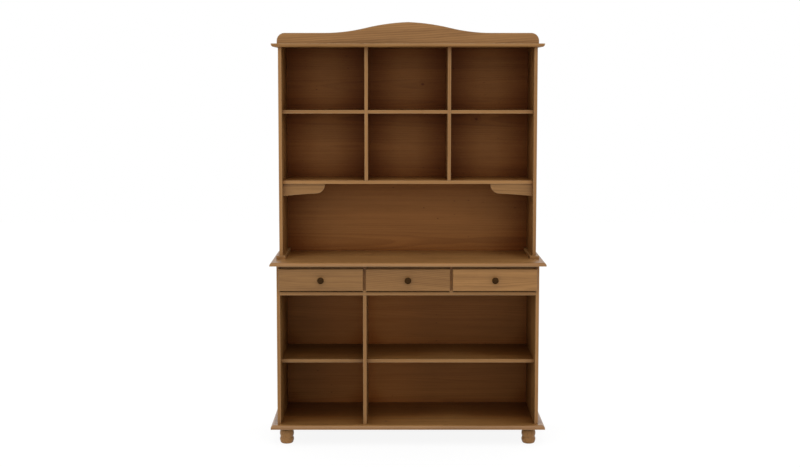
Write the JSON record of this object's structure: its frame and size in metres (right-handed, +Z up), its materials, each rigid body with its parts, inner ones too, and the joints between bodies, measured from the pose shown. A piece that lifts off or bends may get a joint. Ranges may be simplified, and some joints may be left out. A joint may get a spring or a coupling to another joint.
{
  "type": "dresser with hutch",
  "caption": "Dresser on bun feet with drawers over open shelved bays and a moulded worktop, carrying an open-shelf hutch with a shaped crest.",
  "frame": {"origin": "on the floor, under the middle of the bounding box", "axes": "+X to the right seen from the front, +Y to the rear, +Z up; the drawers pull towards -Y"},
  "size_m": [1.2, 0.4494, 1.849],
  "materials": {
    "stained_pine": "satin",
    "back_panel": "satin",
    "drawer_pine": "matte",
    "drawer_bottom": "matte",
    "hardwood": "matte",
    "knob": "satin",
    "steel": "zinc plated"
  },
  "bodies": {
    "cabinet": {"base_board": "stained_pine", "foot_front_left": "stained_pine", "foot_front_right": "stained_pine", "foot_rear_left": "stained_pine", "foot_rear_right": "stained_pine", "lower_side_left": "stained_pine", "lower_side_right": "stained_pine", "lower_divider": "stained_pine", "drawer_deck": "stained_pine", "drawer_partition_left": "stained_pine", "drawer_partition_right": "stained_pine", "drawer_top_rail": "stained_pine", "lower_shelf_left": "stained_pine", "lower_shelf_right": "stained_pine", "worktop": "stained_pine", "hutch_rail_left": "stained_pine", "hutch_rail_right": "stained_pine", "hutch_side_left": "stained_pine", "hutch_side_right": "stained_pine", "hutch_bottom_shelf": "stained_pine", "hutch_divider_left": "stained_pine", "hutch_divider_right": "stained_pine", "hutch_shelf_left": "stained_pine", "hutch_shelf_middle": "stained_pine", "hutch_shelf_right": "stained_pine", "hutch_top_board": "stained_pine", "crest_board": "stained_pine", "bracket_left": "stained_pine", "bracket_right": "stained_pine", "lower_back_panel": "back_panel", "hutch_back_panel": "back_panel", "drawer_runners": "hardwood", "carcass_dowels": "hardwood", "hutch_dowels": "hardwood", "foot_bolts": "steel", "shelf_pins": "steel", "runner_screws": "steel", "back_panel_screws": "steel"},
    "drawer_left": {"drawer_left_front": "stained_pine", "drawer_left_side_left": "drawer_pine", "drawer_left_side_right": "drawer_pine", "drawer_left_back": "drawer_pine", "drawer_left_bottom": "drawer_bottom", "drawer_left_knob": "knob", "drawer_left_knob_screw": "steel"},
    "drawer_middle": {"drawer_middle_front": "stained_pine", "drawer_middle_side_left": "drawer_pine", "drawer_middle_side_right": "drawer_pine", "drawer_middle_back": "drawer_pine", "drawer_middle_bottom": "drawer_bottom", "drawer_middle_knob": "knob", "drawer_middle_knob_screw": "steel"},
    "drawer_right": {"drawer_right_front": "stained_pine", "drawer_right_side_left": "drawer_pine", "drawer_right_side_right": "drawer_pine", "drawer_right_back": "drawer_pine", "drawer_right_bottom": "drawer_bottom", "drawer_right_knob": "knob", "drawer_right_knob_screw": "steel"}
  },
  "joints": [
    {"name": "drawer_left_slide", "type": "slide", "parent": "cabinet", "child": "drawer_left", "axis": [0, -1, 0], "range_m": [0, 0.28]},
    {"name": "drawer_middle_slide", "type": "slide", "parent": "cabinet", "child": "drawer_middle", "axis": [0, -1, 0], "range_m": [0, 0.28]},
    {"name": "drawer_right_slide", "type": "slide", "parent": "cabinet", "child": "drawer_right", "axis": [0, -1, 0], "range_m": [0, 0.28]}
  ]
}
